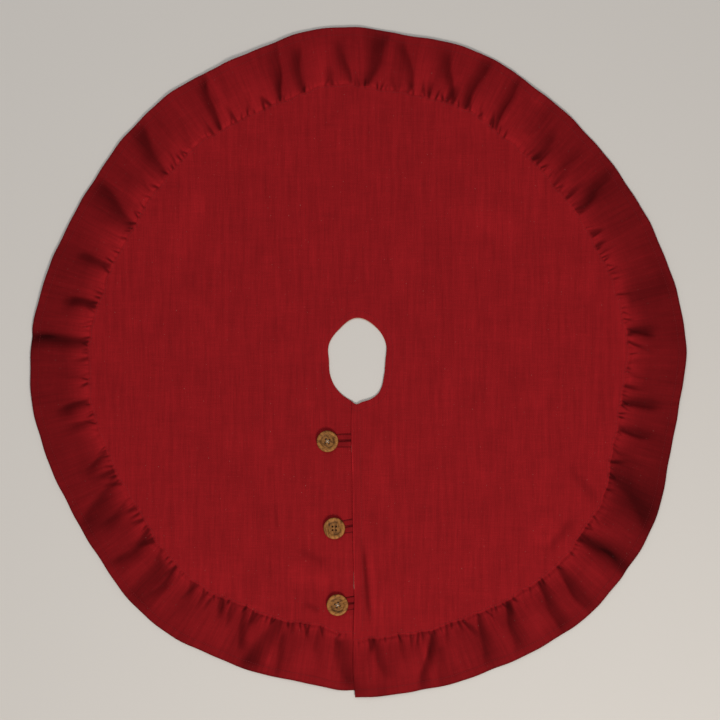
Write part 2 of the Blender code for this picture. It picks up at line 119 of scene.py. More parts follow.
# slow hollows and swellings of the ruffle: angle, place from seam to hem, half width in
# degrees, half length, and depth (below zero for a swelling); they shape the ruffle, and its
# colour takes them as painted shade in the hollows and painted highlight on the swellings
SHADES = [
    (7, 0.35, 1.8, 0.25, 0.5), (12.8, 0.7, 2.4, 0.4, 0.7), (4.5, 0.9, 3, 0.25, 0.35),
    (35, 0.55, 2.7, 0.5, 0.95), (45, 0.6, 1.6, 0.45, 0.6), (50.5, 0.62, 2.3, 0.4, 0.6),
    (55.6, 0.86, 1.7, 0.12, -0.5), (60.6, 0.45, 0.9, 0.45, 0.45), (63.4, 0.5, 1.2, 0.4, -0.35),
    (67.6, 0.4, 1, 0.5, 0.5), (71, 0.3, 0.9, 0.2, -0.45), (74.2, 0.6, 1.2, 0.4, 0.6),
    (78, 0.5, 1.2, 0.4, -0.3), (82.2, 0.55, 1.3, 0.4, 0.65), (87.6, 0.65, 1.8, 0.5, 0.9),
    (93.2, 0.65, 1.4, 0.4, 0.65), (97.3, 0.5, 1.8, 0.4, -0.35), (101.8, 0.5, 1.3, 0.45, 0.65),
    (106.6, 0.5, 1.3, 0.5, 0.55), (112, 0.45, 3, 0.4, -0.3), (117.9, 0.55, 0.8, 0.45, -0.5),
    (121, 0.4, 1.1, 0.45, 0.55), (129.5, 0.6, 1.4, 0.4, 0.4), (134, 0.6, 2.4, 0.45, 0.85),
    (140.8, 0.55, 1.5, 0.35, 0.65), (147.6, 0.6, 2.8, 0.45, 0.85), (153.8, 0.45, 2, 0.4, -0.2),
    (159.4, 0.45, 1.4, 0.45, 0.65), (167.6, 0.5, 1.4, 0.4, 0.65), (176, 0.5, 1.1, 0.8, 1.2),
    (188.8, 0.4, 1.5, 0.4, 0.7), (193.2, 0.35, 1, 0.35, 0.5), (201.8, 0.3, 2, 0.28, 0.5),
    (211.4, 0.62, 2.9, 0.45, 0.95), (219.8, 0.35, 1.1, 0.4, 0.55), (222.6, 0.5, 1.4, 0.4, -0.2),
    (226.4, 0.58, 2, 0.5, 0.7), (230, 0.6, 1.4, 0.45, -0.35), (234, 0.4, 1.6, 0.35, 0.4),
    (239.5, 0.55, 3.2, 0.4, -0.25), (246, 0.4, 1.5, 0.4, 0.4), (249.4, 0.78, 2.2, 0.28, 0.8),
    (252.8, 0.74, 1.4, 0.2, -0.75), (255.2, 0.5, 1.2, 0.5, 0.65), (258.6, 0.5, 1.6, 0.4, -0.25),
    (262, 0.5, 0.9, 0.4, 0.5), (267.4, 0.6, 1.4, 0.45, 0.7), (274.3, 0.6, 1.5, 0.45, 0.65),
    (279.4, 0.55, 1.5, 0.4, -0.25), (282.9, 0.5, 0.6, 0.4, -0.6), (285.2, 0.35, 1.1, 0.4, 0.6),
    (294.2, 0.5, 1.6, 0.45, 0.65), (300.2, 0.5, 1.3, 0.45, 0.65), (304.8, 0.5, 1.6, 0.4, -0.25),
    (308.6, 0.5, 1.6, 0.5, 0.7), (314, 0.5, 1.3, 0.5, 0.75), (318, 0.5, 1.6, 0.4, -0.2),
    (321.9, 0.5, 1.5, 0.8, 1.5), (327.3, 0.4, 1.9, 0.4, -0.25), (333.4, 0.55, 3.4, 0.55, 1),
    (338.6, 0.2, 2.6, 0.25, 0.65), (344, 0.8, 4, 0.25, 0.35), (346, 0.4, 1.2, 0.35, 0.65),
    (352, 0.5, 1.5, 0.45, 0.7),
]

# short creases pressed into the panel: x, y of both ends, half width, height
CREASES = [
    (-154, -262, -150, -310, 3, -0.9), (9, -338, 21, -480, 3.8, -2.3), (19, -340, 33, -478, 6, 1),
    (-210, -452, -120, -500, 12, 1), (-128, -392, -52, -405, 13, 1.3),
    (-110, -350, -60, -372, 9, -1), (-118, -478, -84, -500, 8, -1), (30, -150, 52, -250, 10, 0.6),
    (-100, -446, -72, -462, 6, -1.2), (330, -330, 372, -300, 16, 1.3),
    (352, -352, 402, -286, 10, -1.3), (396, -196, 446, -262, 9, -1.1),
    (-340, 180, -300, 330, 22, 0.7), (200, 290, 300, 240, 26, 0.7),
]


# ---- formulas on arrays ----
def smooth(edge0, edge1, value):
    t = np.clip((value - edge0) / (edge1 - edge0), 0.0, 1.0)
    return t * t * (3.0 - 2.0 * t)


def bell(value, half):
    """1 where the value is 0, and falling to both sides, to 0.37 at half."""
    return np.exp(-(value / half) ** 2)


def turn_between(angle, centre):
    return (angle - centre + 180.0) % 360.0 - 180.0


def scallop(angle, centre, width, height):
    return height * np.exp(-0.5 * (turn_between(angle, centre) / width) ** 2)


def hem_radius(angle, right):
    total = np.full_like(angle, BASE_RADIUS, dtype=float)
    for bump in BUMPS:
        total += scallop(angle, *bump)
    if right:
        total += (np.sin(np.radians(angle)) < 0.0) * scallop(angle, *RIGHT_CORNER)
    return total


def seam_radius(angle, right):
    wander = 1.2 * np.sin(np.radians(23 * angle + 40)) + 0.8 * np.sin(np.radians(41 * angle))
    wander += 0.8 * np.sin(np.radians(67 * angle + 10)) + 0.6 * np.sin(np.radians(97 * angle + 200))
    return hem_radius(angle, right) - RUFFLE + wander


def hole_radius(angle):
    steps = len(HOLE_RADII)
    place = (angle % 360.0) / (360.0 / steps)
    k = np.floor(place).astype(int)
    t = place - k
    a, b, c, d = (HOLE_RADII[(k + j) % steps] for j in (-1, 0, 1, 2))
    curve = 0.5 * (2 * b + (c - a) * t + (2 * a - 5 * b + 4 * c - d) * t * t
                   + (3 * b - a - 3 * c + d) * t ** 3)
    return curve + scallop(angle, *HOLE_TIP)


def polar(centre, radius, angle):
    return (centre[0] + radius * np.cos(np.radians(angle)),
            centre[1] + radius * np.sin(np.radians(angle)))


def angle_at(radius_of, centre, x, front):
    """The angle at which an outline crosses the line x, at the front or the back."""
    sweep = np.linspace(225.0, 315.0, 1801) if front else np.linspace(135.0, 45.0, 1801)
    xs, _ = polar(centre, radius_of(sweep), sweep)
    return float(np.interp(x, xs, sweep))


def edge_x(y):
    return np.interp(y, EDGE_Y, EDGE_X)


def bounds_of(region, radius_of, centre, y_front):
    """First and last angle of a region along an outline."""
    if region == "left":
        first = angle_at(radius_of, centre, FOLD_LEFT_X, False)
        return first, angle_at(radius_of, centre, UNDERLAP_X, True)
    if region == "right":
        first = angle_at(radius_of, centre, FOLD_RIGHT_X, False)
        return first, angle_at(radius_of, centre, float(edge_x(y_front)), True) - 360.0
    return (angle_at(radius_of, centre, FOLD_LEFT_X, False),
            angle_at(radius_of, centre, FOLD_RIGHT_X, False))


def neck_lift(x, y):
    dx, dy = x - HOLE_CENTRE[0], y - HOLE_CENTRE[1]
    away = np.hypot(dx, dy) - hole_radius(np.degrees(np.arctan2(dy, dx)))
    return LEFT_LIFT * (1.0 - smooth(34.0, 90.0, away))


def base_height(x, y, region):
    """Height of a sheet's underside over the floor, before its folds and ripples."""
    neck = neck_lift(x, y)
    if region == "fold":
        return neck
    if region == "right":
        over_loops = sum(bell(y - at, 24.0) for at in LOOP_Y)
        away = smooth(-84.0, -140.0, y)
        lift = LAP_LIFT + 0.6 * away + LOOP_LIFT * np.clip(over_loops, 0, 1)
        strip = lift * (1.0 - smooth(13.0 + 9.0 * away, 46.0 + 44.0 * away, x))
        strip = strip * smooth(-10.0, -72.0, y)
        return np.maximum(strip, neck)
    strip = LEFT_LIFT * smooth(-150.0, -110.0, x) * smooth(-20.0, -75.0, y)
    return np.maximum(strip, neck)


def ripple(x, y):
    """Slow unevenness of cloth laid on a floor, never below it."""
    waves = [(0.011, 0.007, 0.3), (-0.008, 0.019, 1.9), (0.027, -0.006, 4.0),
             (0.016, 0.031, 2.2), (-0.041, 0.013, 0.7), (0.052, 0.043, 5.1)]
    total = sum(np.sin(a * x * 1.3 + b * y * 1.3 + c) / (1.0 + 0.55 * k)
                for k, (a, b, c) in enumerate(waves))
    return 0.42 * (total + 2.6)


def creases(x, y):
    total = np.zeros_like(x)
    for x0, y0, x1, y1, width, height in CREASES:
        ex, ey = x1 - x0, y1 - y0
        length = math.hypot(ex, ey)
        along = ((x - x0) * ex + (y - y0) * ey) / length
        across = ((x - x0) * ey - (y - y0) * ex) / length
        inside = smooth(-0.15 * length, 0.3 * length, along)
        inside = inside * (1.0 - smooth(0.7 * length, 1.15 * length, along))
        total += height * bell(across, width) * inside
    return total


def seam_puckers():
    """Small folds along the gathered seam: angle, half width in mm, reach, depth, slant."""
    chance = np.random.RandomState(29)
    found = []
    angle = 0.0
    while angle < 359.0:
        angle += chance.uniform(0.62, 1.55)
        crowd = 0.78 + 0.22 * math.sin(math.radians(5 * angle + 20)) * math.sin(0.61 * angle)
        crowd += 0.40 * bell(angle - 240.0, 12.0) + 0.20 * bell(angle - 76.0, 14.0)
        long = chance.uniform() < 0.36 * crowd ** 2
        width = chance.uniform(2.6, 4.6) if long else chance.uniform(1.6, 2.9)
        reach = chance.uniform(0.20, 0.42) if long else chance.uniform(0.08, 0.16)
        depth = crowd * chance.uniform(0.30, 1.25) * (0.3 if chance.uniform() < 0.20 else 1.0)
        found.append((angle, width, reach, depth, chance.uniform(-1, 1)))
    return found


PUCKERS = seam_puckers()


def puckers(angle, down):
    """How deep in a small seam fold a point is, 0 to 1. down is 0 at the seam."""
    total = np.zeros_like(angle, dtype=float)
    out = np.abs(down)
    middle = float(np.median(angle))
    half = float(np.max(np.abs(turn_between(angle, middle)))) + 3.0
    for at, width, reach, depth, slant in PUCKERS:
        if abs(turn_between(at, middle)) > half:
            continue
        arc = turn_between(angle, at + 6.0 * slant * out) * (math.pi / 180.0) * SEAM_R
        spread = width * (1.0 + 3.5 * out) * np.where(arc > 0.0, 1.2, 0.8)
        total += depth * np.exp(-(arc / spread) ** 2 - (out / reach) ** 2)
    return np.clip(total, 0.0, 1.15)


def fold_depth(angle, down):
    """How deep in a fold a point of the ruffle is, 0 on a crest to 1 at a fold's bottom."""
    keep = np.ones_like(angle)
    for at_seam, at_hem, width, depth, start, end in FOLDS:
        bow = 0.5 * math.sin(7.3 * at_seam)
        middle = at_seam + (at_hem - at_seam) * down + bow * np.sin(math.pi * down)
        middle = middle + 0.15 * np.sin(9.0 * down + 5.1 * at_hem)
        arc = turn_between(angle, middle) * (math.pi / 180.0) * MIDDLE_R
        spread = width * (0.84 + 0.46 * down) * np.where(arc > 0.0, 1.45, 0.58)
        within = smooth(start - 0.08, start + 0.06, down)
        within = within * (1.0 - smooth(end - 0.30, end, down))
        uneven = 0.86 + 0.14 * np.sin(6.0 * down + 3.3 * at_seam)
        keep *= 1.0 - depth * uneven * within * bell(arc, spread)
    return 1.0 - keep


def hollows(angle, down):
    """The slow hollows, above zero, and swellings, below zero, listed in SHADES."""
    total = np.zeros_like(angle, dtype=float)
    for at, place, half, length, depth in SHADES:
        across = turn_between(angle, at) / half
        total += depth * np.exp(-across ** 2 - ((down - place) / length) ** 2)
    return total


def swells(angle, down):
    """Slow rises and falls of the ruffle between its folds, about -1 to 1."""
    a = np.radians(angle)
    total = np.sin(19 * a + 2.1 * down + 0.6) + 0.8 * np.sin(33 * a - 3.0 * down + 2.0)
    total += 0.6 * np.sin(57 * a + 4.2 * down + 4.4) + 0.4 * np.sin(91 * a - 2.6 * down)
    return total / 2.0


def ruffle_lift(angle, down):
    """Height of the ruffle's underside over the cloth's base height, and its fold depths."""
    a = np.radians(angle)
    puff = PUFF + 1.3 * np.sin(7 * a + 0.4) + 1.1 * np.sin(13 * a + 2.0)
    rise = smooth(-0.06, 0.42, down) * (1.0 - 0.66 * smooth(0.40, 1.0, down))
    deep = fold_depth(angle, down)
    crest = np.clip(1.0 - deep, 0.0, 1.0) ** 0.8
    slits = puckers(angle, down)
    teeth = TEETH * np.clip(1.0 - slits, 0.0, 1.0) * np.exp(-down / 0.12)
    lift = (puff + 1.6 * swells(angle, down) - 4.2 * hollows(angle, down)) * rise * crest
    lift = lift + teeth * smooth(-0.005, 0.06, down) * (1.0 - 0.5 * deep) + 0.3
    lift = lift - 1.5 * slits * smooth(0.03, 0.16, down) * bell(down, 0.42)
    return np.maximum(lift, 0.15), deep, slits


def round_light(angle):
    """Painted light and shade: how much lighter or darker the ruffle is painted in different directions
    from the centre.
    """
    total = np.ones_like(angle)
    for at, half, amount in ((335.0, 9.0, -0.30), (292.0, 20.0, -0.11), (245.0, 22.0, -0.06),
                             (135.0, 24.0, 0.10), (35.0, 16.0, -0.04)):
        total += amount * bell(turn_between(angle, at), half)
    return total


def near_slit(x, y, region):
    """Presses the ruffle flat at the front, where the halves lap."""
    if region == "right":
        press = 0.12 + 0.88 * smooth(-14.0, 34.0, x - edge_x(y))
    else:
        press = 0.05 + 0.95 * (1.0 - smooth(-46.0, -10.0, x))
    return np.where(y < 0.0, press, 1.0)


# ---- meshes from grids ----
def linked(name, data):
    obj = bpy.data.objects.new(name, data)
    bpy.context.scene.collection.objects.link(obj)
    return obj


def from_bmesh(name, bm):
    mesh = bpy.data.meshes.new(name)
    bm.to_mesh(mesh)
    bm.free()
    return linked(name, mesh)


def shade_smooth(mesh):
    mesh.polygons.foreach_set("use_smooth", np.ones(len(mesh.polygons), dtype=bool))


def add_attribute(mesh, key, values):
    """Stores one number or one vector for each vertex, for the materials to read."""
    kind, field = ("FLOAT_VECTOR", "vector") if values.shape[-1] == 3 else ("FLOAT", "value")
    made = mesh.attributes.new(key, kind, "POINT")
    made.data.foreach_set(field, values.astype(np.float32).ravel())


def grid_mesh(name, under, thick, attributes, flip):
    """A closed sheet: an underside grid (rows, columns, 3) in mm and a top above it."""
    rows, columns, _ = under.shape
    count = rows * columns
    top = under.copy()
    top[:, :, 2] += thick
    points = np.concatenate([under.reshape(-1, 3), top.reshape(-1, 3)]) * MM
    index = np.arange(count).reshape(rows, columns)
    a, b = index[:-1, :-1].ravel(), index[:-1, 1:].ravel()
    c, d = index[1:, 1:].ravel(), index[1:, :-1].ravel()
    upper = np.stack([a, b, c, d], 1) + count
    lower = np.stack([d, c, b, a], 1)
    loop = np.concatenate([index[0, :-1], index[:-1, -1], index[-1, :0:-1], index[:0:-1, 0]])
    after = np.roll(loop, -1)
    rim = np.stack([loop, after, after + count, loop + count], 1)
    faces = np.concatenate([upper, lower, rim])
    if flip:
        faces = faces[:, ::-1]
    mesh = bpy.data.meshes.new(name)
    mesh.vertices.add(len(points))
    mesh.vertices.foreach_set("co", points.astype(np.float32).ravel())
    mesh.loops.add(faces.size)
    mesh.loops.foreach_set("vertex_index", faces.ravel().astype(np.int32))
    mesh.polygons.add(len(faces))
    mesh.polygons.foreach_set("loop_start", np.arange(0, faces.size, 4, dtype=np.int32))
    mesh.update(calc_edges=True)
    mesh.validate()
    shade_smooth(mesh)
    mark_rim(mesh, loop, count)
    for key, values in attributes.items():
        add_attribute(mesh, key, np.concatenate([values.reshape(count, -1)] * 2))
    return linked(name, mesh)


def mark_rim(mesh, loop, count):
    """Sharp edges where the rim meets the faces, so the faces' shading ignores the rim."""
    on_rim = np.zeros(2 * count, dtype=bool)
    on_rim[loop] = True
    on_rim[loop + count] = True
    ends = np.empty(len(mesh.edges) * 2, dtype=np.int32)
    mesh.edges.foreach_get("vertices", ends)
    ends = ends.reshape(-1, 2)
    same_side = (ends[:, 0] < count) == (ends[:, 1] < count)
    sharp = on_rim[ends[:, 0]] & on_rim[ends[:, 1]] & same_side
    attribute = mesh.attributes.new("sharp_edge", "BOOLEAN", "EDGE")
    attribute.data.foreach_set("value", sharp)


def stacked(*arrays):
    return np.stack(np.broadcast_arrays(*arrays), axis=-1)


# ---- the panel ----
def panel_plan(region, columns, shares):
    """x, y of the panel's grid, rows from the hole to the seam."""
    right = region == "right"
    h_first, h_last = bounds_of(region, hole_radius, HOLE_CENTRE, HOLE_FRONT_Y)
    s_first, s_last = bounds_of(region, lambda a: seam_radius(a, right), CENTRE, SEAM_FRONT_Y)
    u = np.linspace(0.0, 1.0, columns)
    hole_angle = h_first + u * (h_last - h_first)
    seam_angle = s_first + u * (s_last - s_first)
    hx, hy = polar(HOLE_CENTRE, hole_radius(hole_angle), hole_angle)
    sx, sy = polar(CENTRE, seam_radius(seam_angle, right), seam_angle)
    v = np.asarray(shares)[:, None]
    x = hx + v * (sx - hx)
    y = hy + v * (sy - hy)
    if right:
        straight = x[:, -1:]
        pull = (edge_x(y[:, -1:]) - straight) * (1.0 - smooth(0.0, 90.0, x - straight))
        x = x + pull * (y < SLIT_TOP_Y)
    return x, y


def panel_height(x, y, region):
    right = region == "right"
    dx, dy = x - CENTRE[0], y - CENTRE[1]
    angle = np.degrees(np.arctan2(dy, dx)) % 360.0
    inside = seam_radius(angle, right) - np.hypot(dx, dy)
    calm = smooth(0.0, 60.0, inside) * 0.75 + 0.25
    lapped = (1.0 - smooth(-30.0, -8.0, x)) if region == "left" else 1.0
    free = 0.25 + 0.75 * lapped * (y < 0) + 0.75 * (y >= 0)
    z = base_height(x, y, region) + ripple(x, y) * calm * free + creases(x, y) * lapped
    tucks = puckers(angle, inside / TUCK_REACH)
    z = z + 0.6 * (1.0 - tucks) * np.exp(-inside / 6.5) * lapped
    z = z - (0.10 + 0.45 * tucks) * bell(inside, 2.4)
    hdx, hdy = x - HOLE_CENTRE[0], y - HOLE_CENTRE[1]
    away = np.hypot(hdx, hdy) - hole_radius(np.degrees(np.arctan2(hdy, hdx)))
    z = z - 0.5 * np.exp(-np.clip(away, 0, None) / 1.2)
    return np.maximum(z, 0.02), inside, away


def panel_under(x, y, region):
    """The panel's underside, raised where its edge is turned in round the hole and at the slit."""
    z, inside, away = panel_height(x, y, region)
    turned = 1.0 - smooth(*HOLE_TURNED, away)
    if region == "right":
        beside = 1.0 - smooth(*SLIT_TURNED, x - edge_x(y))
        turned = np.maximum(turned, beside * (y < SLIT_TOP_Y))
    return z + TURNED_EDGE * turned, inside, away


def make_panel(region, columns, rows):
    shares = np.linspace(0.0, 1.0, rows)
    shares = 0.72 * shares + 0.28 * (0.5 - 0.5 * np.cos(np.pi * shares))
    x, y = panel_plan(region, columns, shares)
    z, inside, _ = panel_under(x, y, region)
    angle = np.degrees(np.arctan2(y - CENTRE[1], x - CENTRE[0])) % 360.0
    # Painted light: the panel a little lighter towards the back.
    painted_shading = 1.0 + 0.03 * smooth(-100.0, 450.0, y)
    tucks = np.clip(puckers(angle, inside / TUCK_REACH), 0, 1)
    # Painted shade in the seam's tucks.
    painted_shading = painted_shading * (1.0 - 0.42 * tucks * bell(inside, 4.2))
    # Painted highlight on the panel's raised edge just inside the seam, between the tucks.
    painted_shading = painted_shading * (1.0 + 0.10 * (1.0 - tucks) * bell(inside - 3.0, 2.6))
    # Painted shade in the creases' hollows and painted highlight on their ridges.
    painted_shading = painted_shading * (1.0 + 0.20 * np.clip(creases(x, y), -2.4, 0.6))
    if region == "right":
        # Painted highlight along the right half's slit edge.
        beside = bell(x - edge_x(y) - 1.0, 1.6) * (y < SLIT_TOP_Y)
        painted_shading = painted_shading * (1.0 + beside * (0.20 + 0.18 * np.sin(y / 17.0) * np.sin(y / 41.0)))
    obj = grid_mesh(
        f"main_panel_{region}", stacked(x, y, z), CLOTH,
        {"weave": stacked(x, y, 0.0), "painted_shading": painted_shading}, flip=region != "left")
    return dressed(obj, CLOTH_MAT)


# ---- the ruffle ----
def ruffle_plan(region, columns, shares):
    right = region == "right"
    v = np.asarray(shares)
    x = np.zeros((len(v), columns))
    y = np.zeros_like(x)
    angle = np.zeros_like(x)
    u = np.linspace(0.0, 1.0, columns)
    for row, down in enumerate(v):
        def radius(a, down=down):
            return seam_radius(a, right) + down * (hem_radius(a, right) - seam_radius(a, right))
        first, last = bounds_of(region, radius, CENTRE, SEAM_FRONT_Y - 108.0 * down)
        angle[row] = first + u * (last - first)
        r = radius(angle[row])
        deep = fold_depth(angle[row], np.full(columns, down))
        a = np.radians(angle[row])
        wiggle = 0.7 * np.sin(29 * a + 1.0) + 0.35 * np.sin(61 * a)
        r = r + smooth(0.5, 1.0, down) * (wiggle - 1.4 * deep)
        x[row], y[row] = polar(CENTRE, r, angle[row])
    return x, y, angle % 360.0


def ruffle_under(x, y, angle, down, region):
    """The ruffle's underside, with a step at the turned hem, and its fold depths."""
    lift, deep, slits = ruffle_lift(angle, down)
    z = base_height(x, y, region) * (1.0 - 0.25 * down) + lift * near_slit(x, y, region)
    return z + 0.4 * smooth(HEM_AT - 0.007, HEM_AT + 0.008, down), deep, slits


def make_ruffle(region, columns, rows):
    v = np.linspace(0.0, 1.0, rows) ** 1.25
    x, y, angle = ruffle_plan(region, columns, v)
    down = np.broadcast_to(v[:, None], x.shape)
    z, deep, slits = ruffle_under(x, y, angle, down, region)
    arc = np.radians(angle) * MIDDLE_R * FULLNESS
    # Painted shade: the ruffle darker than the panel away from the seam, most on its left and right sides.
    side = np.cos(np.radians(angle)) ** 2
    painted_shading = 1.0 - (0.09 + 0.27 * side) * smooth(0.02, 0.42, down)
    # Painted shade in the folds, darkest near the seam.
    dark = 0.60 + 0.16 * (1.0 - smooth(0.05, 0.60, down))
    painted_shading = painted_shading * (1.0 - dark * np.clip(deep, 0, 1) ** 1.1)
    # Painted light and shade following the swells; the colour also a little darker towards the hem.
    painted_shading = painted_shading * (1.0 + 0.06 * swells(angle, down)) * (1.0 - 0.08 * smooth(0.55, 1.0, down))
    # Painted shade at the bottoms of the deepest folds.
    painted_shading = painted_shading * (1.0 - 0.45 * smooth(0.88, 1.0, deep))
    # Painted shade in the hollows and painted highlight on the swellings, times the painted light round
    # the ruffle.
    dip = np.clip(hollows(angle, down), -0.8, 1.5)
    painted_shading = painted_shading * (1.0 - np.where(dip > 0.0, 0.26, 0.42) * dip) * round_light(angle)
    # Painted shade in the seam's tucks.
    painted_shading = painted_shading * (1.0 - 0.56 * smooth(0.06, 0.90, slits) * bell(down, 0.40))
    # Painted highlight on the crests between the tucks, near the seam.
    painted_shading = painted_shading * (1.0 + 0.20 * (1.0 - smooth(0.0, 0.35, slits)) * bell(down, 0.09))
    # Painted shade along the hem's edge.
    painted_shading = painted_shading * (1.0 - 0.30 * smooth(0.970, 0.992, down))
    # A thin darker line along the turned hem's step.
    painted_shading = painted_shading * (1.0 - 0.12 * bell(down - HEM_AT, 0.008))
    obj = grid_mesh(
        f"ruffle_{region}", stacked(x, y, z), CLOTH,
        {"weave": stacked(arc, down * RUFFLE, 0.0), "painted_shading": painted_shading}, flip=region != "left")
    return dressed(obj, CLOTH_MAT)


# ---- materials ----
def new_material(name):
    mat = bpy.data.materials.new(name)
    mat.use_nodes = True
    tree = mat.node_tree
    return mat, tree, tree.nodes["Principled BSDF"]


def value_of(tree, socket_or_number, target):
    if isinstance(socket_or_number, bpy.types.NodeSocket):
        tree.links.new(socket_or_number, target)
    else:
        target.default_value = socket_or_number


def math_node(tree, kind, *values, clamp=False):
    node = tree.nodes.new("ShaderNodeMath")
    node.operation = kind
    node.use_clamp = clamp
    for value, target in zip(values, node.inputs):
        value_of(tree, value, target)
    return node.outputs[0]


def scaled(tree, vector, scale):
    node = tree.nodes.new("ShaderNodeVectorMath")
    node.operation = "MULTIPLY"
    tree.links.new(vector, node.inputs[0])
    node.inputs[1].default_value = scale
    return node.outputs[0]


def noise(tree, vector, scale, detail=2.0, rough=0.5):
    node = tree.nodes.new("ShaderNodeTexNoise")
    tree.links.new(scaled(tree, vector, scale), node.inputs["Vector"])
    node.inputs["Scale"].default_value = 1.0
    node.inputs["Detail"].default_value = detail
    node.inputs["Roughness"].default_value = rough
    return node.outputs["Fac"]


def attribute(tree, name, output):
    node = tree.nodes.new("ShaderNodeAttribute")
    node.attribute_type = "GEOMETRY"
    node.attribute_name = name
    return node.outputs[output]


def mix_colour(tree, factor, a, b):
    node = tree.nodes.new("ShaderNodeMix")
    node.data_type = "RGBA"
    value_of(tree, factor, node.inputs["Factor"])
    for value, key in ((a, 6), (b, 7)):
        if isinstance(value, bpy.types.NodeSocket):
            tree.links.new(value, node.inputs[key])
        else:
            node.inputs[key].default_value = (*value, 1.0)
    return node.outputs[2]


def times_colour(tree, colour, factor):
    """A colour multiplied by one number."""
    node = tree.nodes.new("ShaderNodeVectorMath")
    node.operation = "SCALE"
    tree.links.new(colour, node.inputs[0])
    value_of(tree, factor, node.inputs["Scale"])
    return node.outputs[0]


def varied(tree, factor, source, amount):
    """factor times 1 plus amount times (source minus a half)."""
    part = math_node(tree, "MULTIPLY_ADD", source, amount, 1.0 - 0.5 * amount)
    return math_node(tree, "MULTIPLY", factor, part)


def plain_colour(tree, colour):
    node = tree.nodes.new("ShaderNodeRGB")
    node.outputs[0].default_value = (*colour, 1.0)
    return node.outputs[0]


def set_relief(tree, shader, height, strength, distance):
    bump = tree.nodes.new("ShaderNodeBump")
    bump.inputs["Strength"].default_value = strength
    bump.inputs["Distance"].default_value = distance
    tree.links.new(height, bump.inputs["Height"])
    tree.links.new(bump.outputs["Normal"], shader.inputs["Normal"])


def cloth_material(name, colour, pitch=1.9, contrast=1.0, speck=(0.62, 0.42, 0.34)):
    """Plain-weave cloth with uneven threads: colour, threads' relief, slubs and specks."""
    mat, tree, shader = new_material(name)
    where = attribute(tree, "weave", "Vector")
    # The factor starts from the painted light and shade stored on each sheet's vertices: painted shade in
    # folds, tucks and creases, and painted highlights.
    factor = attribute(tree, "painted_shading", "Fac")
    warp = noise(tree, where, (1.0 / pitch, 1.0 / 44.0, 1.0))
    weft = noise(tree, where, (1.0 / 36.0, 1.0 / pitch, 1.0))
    slub = noise(tree, where, (1.0 / 8.0, 1.0 / 120.0, 1.0), rough=0.6)
    cross_slub = noise(tree, where, (1.0 / 95.0, 1.0 / 9.0, 1.0), rough=0.6)
    mottle = noise(tree, where, (1.0 / 60.0, 1.0 / 60.0, 1.0), 4.0, 0.6)
    grain = noise(tree, where, (1.0 / 2.6, 1.0 / 2.6, 1.0), 1.0)
    for source, amount in ((warp, 0.40), (weft, 0.24), (slub, 0.48), (cross_slub, 0.14),
                           (mottle, 0.36), (grain, 0.26)):
        factor = varied(tree, factor, source, amount * contrast)
    tinted = times_colour(tree, plain_colour(tree, colour), factor)
    nep = noise(tree, where, (1.0 / 2.4, 1.0 / 5.0, 1.0), rough=0.65)
    nep = math_node(tree, "SUBTRACT", nep, 0.715)
    nep = math_node(tree, "MULTIPLY", nep, 9.0, clamp=True)
    nep = math_node(tree, "MULTIPLY", nep, 0.45)
    tree.links.new(mix_colour(tree, nep, tinted, speck), shader.inputs["Base Color"])
    set_relief(tree, shader, weave_relief(tree, where, pitch, warp, weft), 0.55, 0.0005)
    tree.links.new(math_node(tree, "MULTIPLY_ADD", warp, 0.16, 0.80), shader.inputs["Roughness"])
    shader.inputs["Specular IOR Level"].default_value = 0.05
    return mat


def weave_relief(tree, where, pitch, warp, weft):
    """Height of interlaced threads: one set of threads over the other in turn."""
    split = tree.nodes.new("ShaderNodeSeparateXYZ")
    tree.links.new(where, split.inputs[0])
    turn = math.pi / pitch
    across = math_node(tree, "SINE", math_node(tree, "MULTIPLY", split.outputs[0], turn))
    along = math_node(tree, "SINE", math_node(tree, "MULTIPLY", split.outputs[1], turn))
    check = math_node(tree, "MULTIPLY", across, along)
    threads = math_node(tree, "ADD", math_node(tree, "ABSOLUTE", across),
                        math_node(tree, "ABSOLUTE", along))
    relief = math_node(tree, "MULTIPLY_ADD", threads, 0.30,
                       math_node(tree, "MULTIPLY", check, 0.35))
    uneven = math_node(tree, "ADD", warp, weft)
    return math_node(tree, "ADD", relief, math_node(tree, "MULTIPLY", uneven, 0.9))


def wood_material():
    """Turned wood: long grain with dark pores, times each button's painted shading: a pale rim that is a
    painted highlight, and painted shade that darkens the recess.
    """
    mat, tree, shader = new_material("turned_wood")
    where = attribute(tree, "grain", "Vector")
    # Each button's painted light and shade, stored on its vertices.
    painted_shading = attribute(tree, "painted_shading", "Fac")
    broad = noise(tree, where, (1.0 / 3.4, 1.0 / 26.0, 1.0 / 9.0), 4.0, 0.6)
    fine = noise(tree, where, (1.0 / 0.8, 1.0 / 9.0, 1.0 / 3.0), 3.0, 0.65)
    patch = noise(tree, where, (1.0 / 4.0, 1.0 / 6.5, 1.0 / 5.0), 3.0, 0.6)
    figure = math_node(tree, "MULTIPLY", math_node(tree, "ADD", broad, patch), 2.6)
    figure = math_node(tree, "SUBTRACT", figure, 2.0, clamp=True)
    light = mix_colour(tree, figure, (0.094, 0.034, 0.007), (0.325, 0.132, 0.030))
    pores = math_node(tree, "MULTIPLY", math_node(tree, "SUBTRACT", fine, 0.53), 6.0, clamp=True)
    pores = math_node(tree, "MULTIPLY", pores, 0.62)
    dark = mix_colour(tree, pores, light, (0.034, 0.012, 0.003))
    tree.links.new(times_colour(tree, dark, painted_shading), shader.inputs["Base Color"])
    set_relief(tree, shader, math_node(tree, "SUBTRACT", 1.0, fine), 0.35, 0.0003)
    tree.links.new(math_node(tree, "MULTIPLY_ADD", fine, 0.25, 0.44), shader.inputs["Roughness"])
    shader.inputs["Specular IOR Level"].default_value = 0.14
    return mat


